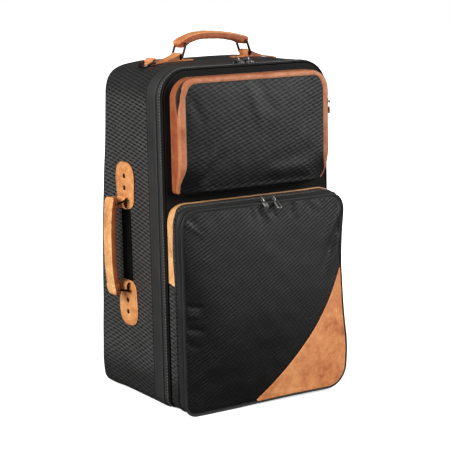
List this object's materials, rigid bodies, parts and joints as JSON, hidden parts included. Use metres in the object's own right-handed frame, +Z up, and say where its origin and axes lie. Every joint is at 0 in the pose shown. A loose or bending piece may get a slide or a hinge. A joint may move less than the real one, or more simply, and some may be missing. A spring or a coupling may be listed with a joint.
{
  "type": "trumpet case",
  "caption": "Upright soft case for two trumpets: a padded tub with a zipped lid hinged on one long side, two zipped pockets, leather trim, a top and a side handle.",
  "frame": {"origin": "centre of the case's footprint on the floor, below the tub", "axes": "+X to the right seen from the front, +Y from the lid to the back, +Z up"},
  "size_m": [0.3616, 0.2859, 0.613],
  "materials": {
    "woven_fabric": "coarse woven",
    "smooth_tape": "smooth woven",
    "piping": "smooth",
    "zip_coil": "satin",
    "lining_plush": "plush",
    "padding_plush": "plush",
    "tan_leather": "smooth",
    "webbing": "ribbed",
    "dark_bronze": "dark satin",
    "black_metal": "satin",
    "nickel": "satin"
  },
  "bodies": {
    "tub": {"tub_shell": "woven_fabric", "tub_lining": "lining_plush", "tub_zip_band": "smooth_tape", "tub_seam_piping": "piping", "tub_zip_coil": "zip_coil", "tub_hinge_leaf": "smooth_tape", "centre_divider": "padding_plush", "lower_pad_left": "padding_plush", "lower_pad_right": "padding_plush", "upper_pad_left": "padding_plush", "upper_pad_right": "padding_plush", "top_anchor_left": "tan_leather", "top_anchor_right": "tan_leather", "side_anchor_upper": "tan_leather", "side_anchor_lower": "tan_leather", "side_webbing": "webbing", "side_screw_upper_inner": "black_metal", "side_screw_upper_outer": "black_metal", "side_screw_lower_inner": "black_metal", "side_screw_lower_outer": "black_metal"},
    "lid": {"lid_shell": "woven_fabric", "lid_lining": "lining_plush", "lid_piping": "piping", "lid_zip_coil": "zip_coil", "lid_hinge_leaf": "smooth_tape", "lower_pocket_gusset": "woven_fabric", "lower_pocket_trim": "tan_leather", "lower_pocket_rear_tape": "smooth_tape", "lower_pocket_panel": "woven_fabric", "lower_pocket_piping": "piping", "leather_corner_patch": "tan_leather", "upper_pocket_gusset": "tan_leather", "upper_pocket_zip_tape": "smooth_tape", "upper_pocket_panel": "woven_fabric", "upper_band_leg_left": "tan_leather", "upper_band_leg_right": "tan_leather"},
    "lower_flap": {"lower_flap_panel": "woven_fabric", "lower_flap_piping": "piping"},
    "lower_slider_left": {"lower_slider_left": "black_metal"},
    "lower_slider_right": {"lower_slider_right": "black_metal"},
    "lower_pull_left": {"lower_pull_left": "nickel"},
    "lower_pull_right": {"lower_pull_right": "nickel"},
    "upper_flap": {"upper_flap_panel": "woven_fabric", "upper_flap_band": "tan_leather"},
    "upper_slider": {"upper_slider": "black_metal"},
    "upper_pull": {"upper_pull": "nickel"},
    "main_slider_left": {"main_slider_left": "black_metal"},
    "main_slider_right": {"main_slider_right": "black_metal"},
    "main_pull_left": {"main_pull_left": "nickel"},
    "main_pull_right": {"main_pull_right": "nickel"},
    "top_ring_left": {"top_ring_left": "dark_bronze"},
    "top_ring_right": {"top_ring_right": "dark_bronze"},
    "top_grip": {"top_grip": "tan_leather"},
    "strap_ring": {"strap_ring": "nickel"},
    "side_ring_upper": {"side_ring_upper": "dark_bronze"},
    "side_ring_lower": {"side_ring_lower": "dark_bronze"},
    "side_grip": {"side_grip": "tan_leather"}
  },
  "joints": [
    {"name": "lid_swing", "type": "hinge", "parent": "tub", "child": "lid", "pos_m": [0.1617, -0.0945, 0], "axis": [0, 0, 1], "range_deg": [0, 175]},
    {"name": "lower_flap_fold", "type": "hinge", "parent": "lid", "child": "lower_flap", "pos_m": [0, -0.1724, 0.2105], "axis": [1, 0, 0], "range_deg": [0, 60]},
    {"name": "upper_flap_fold", "type": "hinge", "parent": "lid", "child": "upper_flap", "pos_m": [0, -0.1497, 0.482], "axis": [1, 0, 0], "range_deg": [0, 45]},
    {"name": "main_slider_left_slide", "type": "slide", "parent": "tub", "child": "main_slider_left", "axis": [-1, 0, 0], "range_m": [0, 0.093]},
    {"name": "main_slider_right_slide", "type": "slide", "parent": "tub", "child": "main_slider_right", "axis": [1, 0, 0], "range_m": [0, 0.088]},
    {"name": "main_pull_left_lift", "type": "hinge", "parent": "main_slider_left", "child": "main_pull_left", "pos_m": [-0.007, -0.0945, 0.5688], "axis": [-1, 0, 0], "range_deg": [0, 150]},
    {"name": "main_pull_right_lift", "type": "hinge", "parent": "main_slider_right", "child": "main_pull_right", "pos_m": [0.012, -0.0945, 0.5688], "axis": [-1, 0, 0], "range_deg": [0, 150]},
    {"name": "lower_slider_left_slide", "type": "slide", "parent": "lower_flap", "child": "lower_slider_left", "axis": [-1, 0, 0], "range_m": [0, 0.108]},
    {"name": "lower_slider_right_slide", "type": "slide", "parent": "lower_flap", "child": "lower_slider_right", "axis": [1, 0, 0], "range_m": [0, 0.088]},
    {"name": "lower_pull_left_lift", "type": "hinge", "parent": "lower_slider_left", "child": "lower_pull_left", "pos_m": [-0.002, -0.1553, 0.3436], "axis": [-1, 0, 0], "range_deg": [0, 115]},
    {"name": "lower_pull_right_lift", "type": "hinge", "parent": "lower_slider_right", "child": "lower_pull_right", "pos_m": [0.02, -0.1553, 0.3436], "axis": [-1, 0, 0], "range_deg": [0, 115]},
    {"name": "upper_slider_slide", "type": "slide", "parent": "upper_flap", "child": "upper_slider", "axis": [0, 0, 1], "range_m": [0, 0.014]},
    {"name": "upper_pull_lift", "type": "hinge", "parent": "upper_slider", "child": "upper_pull", "pos_m": [0.1518, -0.1319, 0.49], "axis": [0, -1, 0], "range_deg": [0, 150]},
    {"name": "top_ring_left_turn", "type": "hinge", "parent": "tub", "child": "top_ring_left", "pos_m": [-0.0675, -0.006, 0.5668], "axis": [0, 1, 0], "range_deg": [-15, 15]},
    {"name": "top_ring_right_turn", "type": "hinge", "parent": "tub", "child": "top_ring_right", "pos_m": [0.0675, -0.006, 0.5668], "axis": [0, 1, 0], "range_deg": [-15, 15]},
    {"name": "top_grip_turn", "type": "hinge", "parent": "top_ring_left", "child": "top_grip", "pos_m": [-0.0595, -0.006, 0.5893], "axis": [0, 1, 0], "range_deg": [-17.1, 17.1]},
    {"name": "strap_ring_lift", "type": "hinge", "parent": "tub", "child": "strap_ring", "pos_m": [-0.118, -0.006, 0.5664], "axis": [0, 1, 0], "range_deg": [0, 150]},
    {"name": "side_ring_upper_turn", "type": "hinge", "parent": "tub", "child": "side_ring_upper", "pos_m": [-0.1668, 0.017, 0.338], "axis": [0, 1, 0], "range_deg": [0, 20]},
    {"name": "side_ring_lower_turn", "type": "hinge", "parent": "tub", "child": "side_ring_lower", "pos_m": [-0.1668, 0.017, 0.183], "axis": [0, 1, 0], "range_deg": [0, 20.1]},
    {"name": "side_grip_turn", "type": "hinge", "parent": "side_ring_upper", "child": "side_grip", "pos_m": [-0.1868, 0.017, 0.333], "axis": [0, 1, 0], "range_deg": [-21.5, 0]}
  ],
  "couplings": [
    {"joint": "top_grip_turn", "follows": "top_ring_left_turn", "ratio": -1.1345},
    {"joint": "top_ring_right_turn", "follows": "top_ring_left_turn", "ratio": 1},
    {"joint": "side_grip_turn", "follows": "side_ring_upper_turn", "ratio": -1.069},
    {"joint": "side_ring_lower_turn", "follows": "side_ring_upper_turn", "ratio": 1}
  ]
}
